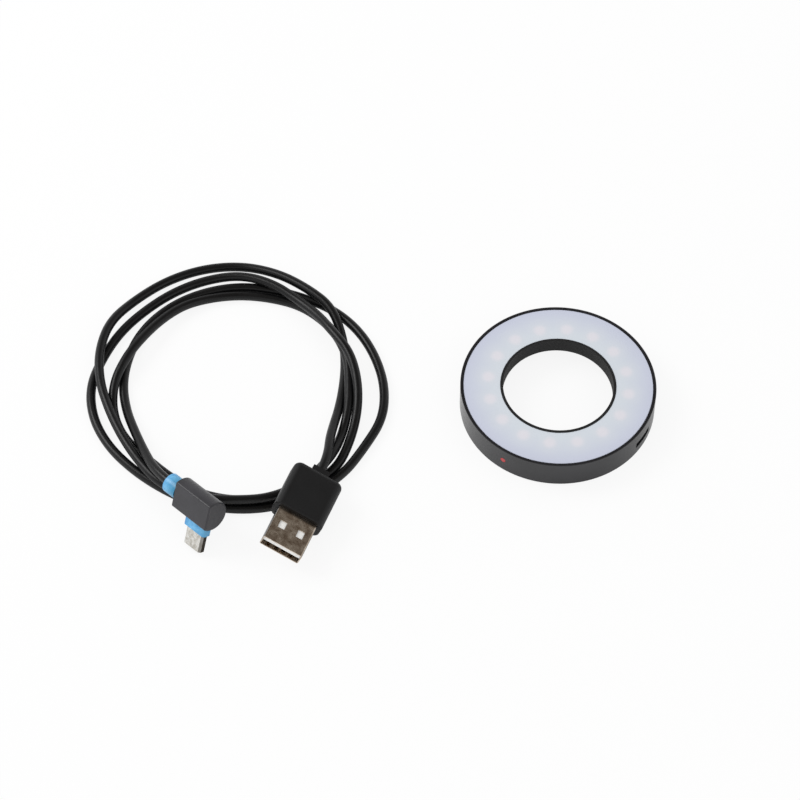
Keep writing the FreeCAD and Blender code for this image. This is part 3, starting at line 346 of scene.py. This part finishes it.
def large_shell_finish():
    """Tarnished nickel, brown and blotched, with a painted dark reflection in grey on the narrow sides and
    painted shade in darker brown on the floor of the mouth.
    """
    nickel_dark, nickel_light = (0.34, 0.24, 0.17, 1.0), (0.84, 0.75, 0.63, 1.0)
    painted_reflection_grey, painted_shade_brown = (0.17, 0.18, 0.19, 1.0), (0.42, 0.33, 0.25, 1.0)
    floor_fade = 0.0005
    material, tree, shader, place = new_finish("plug_nickel", Metallic=1.0)
    about_z, about_x, about_y = (math.radians(turn) for turn in LARGE_PLUG_TURNS)
    turned = (Matrix.Rotation(about_z, 3, "Z") @ Matrix.Rotation(about_x, 3, "X") @
              Matrix.Rotation(about_y, 3, "Y"))
    across, up = turned.col[0], turned.col[2]
    middle = up.dot(Vector(LARGE_PLUG_PLACE)) * MM
    skin = effect(tree, "surface_grain", Vector=place, Grain=2500.0, Marks=420.0, Dark=nickel_dark,
                  Light=nickel_light, Smooth=0.16, Rough=0.34)
    normal = tree.nodes.new("ShaderNodeTexCoord").outputs["Normal"]
    narrow = effect(tree, "side_mask", Vector=normal, Direction=across, Low=0.4, High=0.8)["Both"]
    # Painted dark reflection: the narrow sides, by the way they face, take a darker grey than the nickel.
    toned = blend(tree, narrow, skin["Color"], painted_reflection_grey)
    # Painted shade: faces that look up from below the middle of the plug, on the floor of the mouth, take a
    # darker brown.
    upward = effect(tree, "side_mask", Vector=normal, Direction=up, Low=0.5, High=0.8)["Mask"]
    below = effect(tree, "side_mask", Vector=place, Direction=-up, Low=-middle,
                   High=floor_fade - middle)["Mask"]
    toned = blend(tree, maths(tree, "MULTIPLY", upward, below), toned, painted_shade_brown)
    lay_on(tree, shader, toned, skin["Roughness"], skin["Height"], 0.000004)
    return material


def small_shell_finish():
    """Bright nickel with worn blotches, and a painted dark reflection in brown on one narrow side."""
    nickel_dark, nickel_light = (0.40, 0.37, 0.31, 1.0), (0.96, 0.95, 0.92, 1.0)
    painted_reflection_brown = (0.035, 0.028, 0.02, 1.0)
    material, tree, shader, place = new_finish("small_plug_nickel", Metallic=1.0)
    skin = effect(tree, "surface_grain", Vector=place, Grain=2600.0, Marks=800.0, Dark=nickel_dark,
                  Light=nickel_light, Smooth=0.2, Rough=0.38)
    normal = tree.nodes.new("ShaderNodeTexCoord").outputs["Normal"]
    # Painted dark reflection: the narrow side that faces SMALL_PLUG_SIDE takes a dark brown.
    side = effect(tree, "side_mask", Vector=normal, Direction=SMALL_PLUG_SIDE, Low=0.55, High=0.8)["Mask"]
    lay_on(tree, shader, blend(tree, side, skin["Color"], painted_reflection_brown), skin["Roughness"], skin["Height"],
           0.000005)
    return material


def core_finish(finish):
    """Blue plastic with deeper blotches, and painted shade where the collar meets the cover and at the far
    end.
    """
    painted_shade_blue = (0.05, 0.27, 0.46, 1.0)
    material, tree, shader, place = new_finish("core_blue")
    skin = effect(tree, "surface_grain", Vector=place, Grain=1200.0, Marks=330.0,
                  Dark=shade(finish.accent_deep, 0.95), Light=shade(finish.accent, 1.05),
                  Smooth=0.22, Rough=0.38)
    corner = Vector(SMALL_PLUG_SIDE).dot(Vector(SMALL_PLUG_PLACE))
    # Each fade's start and end in mm past the cover's near corner, the share of its colour, and that colour:
    # painted shade by the cover, the skin's own colour again on the base, and half painted shade at the far
    # end
    fades = ((-18.4, -14.8, 1.0, painted_shade_blue), (-11.0, -10.0, 1.0, skin["Color"]), (-5.5, -1.0, 0.5, painted_shade_blue))
    toned = skin["Color"]
    for low, high, share, colour in fades:
        along = effect(tree, "side_mask", Vector=place, Direction=SMALL_PLUG_SIDE, Low=(corner + low) * MM,
                       High=(corner + high) * MM)["Mask"]
        toned = blend(tree, maths(tree, "MULTIPLY", along, share), toned, colour)
    lay_on(tree, shader, toned, skin["Roughness"], skin["Height"], 0.00001)
    return material


def anodised_finish(finish):
    """Black anodised aluminium over the lathe's fine circles: satin outside, dull in the mouth and darker
    there with painted shade.
    """
    painted_mouth_shade, mouth_rough = 0.3, 0.62
    lines_share = 0.6
    material, tree, shader, place = new_finish("anodised_black", IOR=1.5)
    skin = effect(tree, "surface_grain", Vector=place, Grain=5200.0, Marks=140.0,
                  Dark=shade(finish.body, 0.75), Light=shade(finish.body, 1.35), Smooth=0.15, Rough=0.26)
    lines = effect(tree, "turned_lines", Vector=place, Lines=7000.0)
    mouth = ramp(tree, lines["Reach"], *MOUTH_FADE)
    rough = add_node(tree, "Mix", {"Factor": mouth, "A": skin["Roughness"], "B": mouth_rough})
    height = maths(tree, "ADD", skin["Height"], maths(tree, "MULTIPLY", lines["Mask"], lines_share))
    # Painted shade: the body's colour darkens in the mouth.
    lay_on(tree, shader, blend(tree, mouth, skin["Color"], shade(finish.body, painted_mouth_shade)),
           rough.outputs["Result"], height, 0.000005)
    return material


def lamp_spots(tree, place, finish, core, fade):
    """Round spots over the lamps, whole as far as the core and gone at the fade."""
    return effect(tree, "ring_of_spots", Vector=place, Count=float(finish.lamps), First=FIRST_LAMP,
                  Circle=finish.lamp_circle, Core=core, Fade=fade)


def window_finish(finish):
    """Frosted opal window: each lamp shows through it as a pale spot, and it cools towards its outer edge."""
    inner_tint, halo_tint = (0.68, 0.73, 0.79, 1.0), (0.70, 0.73, 0.78, 1.0)
    halo_share, spot_share = 0.5, 0.75
    material, tree, shader, place = new_finish("frosted_window", IOR=1.49)
    spots = lamp_spots(tree, place, finish, core=0.0006, fade=0.0027)
    halo = lamp_spots(tree, place, finish, core=0.0002, fade=0.0062)
    skin = effect(tree, "surface_grain", Vector=place, Grain=6000.0, Marks=70.0,
                  Dark=shade(finish.window, 0.985), Light=shade(finish.window, 1.015), Smooth=0.42, Rough=0.5)
    toned = blend(tree, ramp(tree, spots["Reach"], *WINDOW_FADE), skin["Color"], inner_tint)
    toned = blend(tree, maths(tree, "MULTIPLY", halo["Mask"], halo_share), toned, halo_tint)
    toned = blend(tree, maths(tree, "MULTIPLY", spots["Mask"], spot_share), toned,
                  shade(finish.lamp_spot, 1.0))
    lay_on(tree, shader, toned, skin["Roughness"], skin["Height"], 0.000006)
    return material


def board_finish():
    """White solder mask, slightly raised over the copper circles beneath it."""
    copper_tint, copper_share = (0.62, 0.66, 0.60, 1.0), 0.35
    circle_gap = 0.8  # mm from the middle of a copper circle to the middle of the gap beside it
    material, tree, shader, place = new_finish("white_board", IOR=1.5)
    reach = effect(tree, "turned_lines", Vector=place)["Reach"]
    skin = effect(tree, "surface_grain", Vector=place, Grain=3000.0, Marks=150.0,
                  Dark=(0.76, 0.77, 0.75, 1.0), Light=(0.86, 0.87, 0.86, 1.0), Smooth=0.3, Rough=0.42)
    circle = maths(tree, "PINGPONG", maths(tree, "MULTIPLY", reach, 1.0 / MM), circle_gap)
    raised = ramp(tree, circle, 0.32, 0.4)
    toned = blend(tree, maths(tree, "MULTIPLY", raised, copper_share), skin["Color"], copper_tint)
    lay_on(tree, shader, toned, skin["Roughness"], raised, 0.00003)
    return material


def dress(material, *nodes):
    """Gives CAD nodes a finish in all their material slots."""
    for name in nodes:
        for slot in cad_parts[name].material_slots:
            slot.material = material


class RINGLIGHT_OT_lead(Operator):
    """Winds the lead in its loose coil from the large plug to the small one"""

    bl_idname = "ringlight.lead"
    bl_label = "Coiled lead"

    def execute(self, context):
        lead = context.scene.ring_light_lead
        route = list(PLUG_END)
        for turn in TURNS:
            for angle, reach, height in turn:
                way = math.radians(angle)
                route.append((COIL_MIDDLE[0] + reach * math.cos(way), COIL_MIDDLE[1] + reach * math.sin(way),
                              height))
        route += COLLAR_END
        curve = bpy.data.curves.new("lead", "CURVE")
        curve.dimensions = "3D"
        spline = curve.splines.new("NURBS")
        spline.points.add(len(route) - 1)
        for point, place in zip(spline.points, route):
            point.co = (place[0] * MM, place[1] * MM, place[2] * MM, 1.0)
        spline.order_u = 3
        spline.use_endpoint_u = True
        spline.resolution_u = lead.steps
        curve.bevel_depth = lead.diameter / 2
        curve.bevel_resolution = 6
        curve.use_fill_caps = True
        piece = bpy.data.objects.new("lead", curve)
        context.scene.collection.objects.link(piece)
        curve.materials.append(plastic_finish("lead_jacket", lead.jacket, 0.28, 0.42, grain=2600.0,
                                              depth=0.000012, spread=0.2, IOR=1.41))
        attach(piece, ROOT)
        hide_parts("lead_cable")
        return {"FINISHED"}


class RINGLIGHT_OT_ring_finish(Operator):
    """Finishes the ring's body, window, board and lamps"""

    bl_idname = "ringlight.ring_finish"
    bl_label = "Ring finishes"

    def execute(self, context):
        finish = context.scene.ring_light_finish
        dress(anodised_finish(finish), "housing")
        dress(window_finish(finish), "diffuser")
        dress(plastic_finish("white_reflector", (0.84, 0.85, 0.85), 0.3, 0.4, spread=0.03), "reflector")
        dress(board_finish(), "led_board")
        dress(plastic_finish("lamp_body", (0.82, 0.82, 0.79), 0.35, 0.45, spread=0.05), "led_packages")
        dress(plastic_finish("lamp_phosphor", (0.83, 0.74, 0.22), 0.25, 0.4, spread=0.08), "led_phosphors")
        dress(plastic_finish("resistor_black", (0.035, 0.035, 0.037), 0.3, 0.45), "led_resistors")
        dress(plastic_finish("capacitor_tan", (0.45, 0.31, 0.19), 0.35, 0.5, spread=0.1), "input_capacitor")
        dress(metal_finish("screw_steel", (0.52, 0.52, 0.54), 0.25, 0.4), "board_screws")
        dress(metal_finish("socket_nickel", (0.62, 0.61, 0.59), 0.25, 0.38), "usb_socket_shell")
        dress(plastic_finish("insulator_black", (0.02, 0.02, 0.021), 0.4, 0.5), "usb_socket_tongue")
        dress(metal_finish("socket_gold", (0.83, 0.62, 0.27), 0.2, 0.3), "usb_socket_contacts")
        dress(plastic_finish("index_enamel", (0.55, 0.035, 0.04), 0.25, 0.35, spread=0.12), "index_dot")
        return {"FINISHED"}


class RINGLIGHT_OT_plug_finish(Operator):
    """Finishes the two plugs of the lead"""

    bl_idname = "ringlight.plug_finish"
    bl_label = "Plug finishes"

    def execute(self, context):
        finish = context.scene.ring_light_finish
        dress(plastic_finish("grip_black", finish.grip, 0.42, 0.55, grain=3000.0, depth=0.00002, IOR=1.42),
              "usb_a_overmould")
        dress(plastic_finish("cover_black", (0.037, 0.036, 0.042), 0.32, 0.44, grain=3200.0, depth=0.000015,
                             IOR=1.5), "micro_plug_cover")
        dress(large_shell_finish(), "usb_a_shell")
        dress(small_shell_finish(), "micro_plug_shell")
        dress(plastic_finish("insulator_white", (0.95, 0.94, 0.91), 0.35, 0.45, spread=0.03),
              "usb_a_insulator")
        dress(plastic_finish("insulator_dark", (0.02, 0.02, 0.021), 0.4, 0.5), "micro_plug_insulator")
        # Gold darkened with painted shade, for the contacts deep in the plugs' mouths.
        dress(metal_finish("plug_gold_painted_shade", (0.50, 0.36, 0.17), 0.18, 0.3), "usb_a_contacts",
              "micro_plug_contacts")
        dress(core_finish(finish), "micro_plug_core")
        dress(metal_finish("latch_steel", (0.6, 0.6, 0.6), 0.2, 0.34), "micro_latch_left",
              "micro_latch_right")
        return {"FINISHED"}


def background_rays(tree):
    """One for rays that see the background, by camera or through glass, and one for rays off a gloss."""
    rays = tree.nodes.new("ShaderNodeLightPath").outputs
    return maths(tree, "MAXIMUM", rays["Is Camera Ray"], rays["Is Transmission Ray"]), rays["Is Glossy Ray"]


def floor_paper():
    """Pale matt paper, near white to the camera and lighter in a gloss, which keeps the object's shadow."""
    seen_share, glossy_share = 0.88, 0.2
    paper = bpy.data.materials.new("studio_paper")
    tree = bare_tree(paper)
    seen, glossy = background_rays(tree)
    matt = add_node(tree, "BsdfDiffuse", {"Color": (0.95, 0.95, 0.95, 1.0)})
    glow = add_node(tree, "Emission", {"Color": WHITE, "Strength": 1.0})
    share = maths(tree, "ADD", maths(tree, "MULTIPLY", seen, seen_share),
                  maths(tree, "MULTIPLY", glossy, glossy_share))
    both = add_node(tree, "MixShader", {0: share, 1: matt.outputs[0], 2: glow.outputs[0]})
    add_node(tree, "OutputMaterial", {"Surface": both.outputs[0]})
    return paper


def studio_room(brightness):
    """A world that is white where it is seen and pale all round the object, with a dim ceiling in a gloss."""
    ceiling_low, ceiling_high = 0.5, 0.78
    ceiling_brown = (0.12, 0.105, 0.09, 1.0)
    world = bpy.data.worlds.new("studio_room")
    tree = bare_tree(world)
    seen, glossy = background_rays(tree)
    way = add_node(tree, "SeparateXYZ", {"Vector": tree.nodes.new("ShaderNodeTexCoord").outputs["Generated"]})
    ceiling = ramp(tree, way.outputs["Z"], ceiling_low, ceiling_high, shape="SMOOTHSTEP")
    room = blend(tree, maths(tree, "MULTIPLY", ceiling, glossy), shade(WHITE, brightness), ceiling_brown)
    sky = add_node(tree, "Background", {"Color": blend(tree, seen, room, WHITE), "Strength": 1.0})
    add_node(tree, "OutputWorld", {"Surface": sky.outputs[0]})
    return world


def soft_lamp(scene, name, power, size, place):
    """A square lamp that shines on the object from its place."""
    lamp = bpy.data.lights.new(name, "AREA")
    lamp.shape = "SQUARE"
    lamp.size = size
    lamp.energy = power
    holder = bpy.data.objects.new(name, lamp)
    scene.collection.objects.link(holder)
    holder.location = place
    holder.rotation_euler = (Vector(LAMP_AIM) - Vector(place)).to_track_quat("-Z", "Y").to_euler()


class RINGLIGHT_OT_studio(Operator):
    """Sets up the pale floor, the soft lamps and the camera"""

    bl_idname = "ringlight.studio"
    bl_label = "Studio"

    def execute(self, context):
        scene = context.scene
        studio = scene.ring_light_studio
        mesh = bpy.data.meshes.new("studio_floor")
        shape = bmesh.new()
        bmesh.ops.create_grid(shape, x_segments=2, y_segments=2, size=FLOOR_REACH)
        bmesh.ops.translate(shape, verts=shape.verts, vec=(0.0, 0.0, -FLOOR_DROP))
        shape.to_mesh(mesh)
        shape.free()
        mesh.materials.append(floor_paper())
        floor = bpy.data.objects.new("studio_floor", mesh)
        scene.collection.objects.link(floor)
        scene.world = studio_room(studio.surround)
        soft_lamp(scene, "key_lamp", studio.key_power, size=0.5, place=(-0.75, 0.25, 0.75))
        soft_lamp(scene, "fill_lamp", studio.fill_power, size=0.4, place=(0.6, -0.45, 0.8))

        eye = bpy.data.cameras.new("camera")
        eye.sensor_width = 36.0
        eye.lens = CAMERA_LENS
        eye.clip_start = 0.01
        camera = bpy.data.objects.new("camera", eye)
        scene.collection.objects.link(camera)
        camera.location = CAMERA_PLACE
        camera.rotation_euler = (math.radians(90.0) - CAMERA_ELEVATION, 0.0, 0.0)
        scene.camera = camera
        scene.view_settings.view_transform = "Standard"
        return {"FINISHED"}


class RINGLIGHT_PT_panel(Panel):
    """Lists the pieces of the ring light and what can be changed"""

    bl_idname = "RINGLIGHT_PT_panel"
    bl_label = "Ring light"
    bl_space_type = "VIEW_3D"
    bl_region_type = "UI"
    bl_category = "Ring light"

    def draw(self, context):
        layout = self.layout
        for operator in OPERATORS:
            layout.operator(operator.bl_idname)
        for group in (context.scene.ring_light_lead, context.scene.ring_light_finish,
                      context.scene.ring_light_studio):
            box = layout.box()
            for name in group.__annotations__:
                box.prop(group, name)


OPERATORS = (RINGLIGHT_OT_lead, RINGLIGHT_OT_ring_finish, RINGLIGHT_OT_plug_finish, RINGLIGHT_OT_studio)
CLASSES = (RingLightLead, RingLightFinish, RingLightStudio) + OPERATORS + (RINGLIGHT_PT_panel,)


def register():
    """Registers the classes and gives each scene its three groups of settings."""
    for kind in CLASSES:
        bpy.utils.register_class(kind)
    bpy.types.Scene.ring_light_lead = PointerProperty(type=RingLightLead)
    bpy.types.Scene.ring_light_finish = PointerProperty(type=RingLightFinish)
    bpy.types.Scene.ring_light_studio = PointerProperty(type=RingLightStudio)


def unregister():
    """Takes the settings and the classes away again."""
    del bpy.types.Scene.ring_light_studio
    del bpy.types.Scene.ring_light_finish
    del bpy.types.Scene.ring_light_lead
    for kind in reversed(CLASSES):
        bpy.utils.unregister_class(kind)


def main():
    """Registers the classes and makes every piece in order."""
    register()
    bpy.ops.ringlight.lead()
    bpy.ops.ringlight.ring_finish()
    bpy.ops.ringlight.plug_finish()
    bpy.ops.ringlight.studio()


if __name__ == "__main__":
    main()
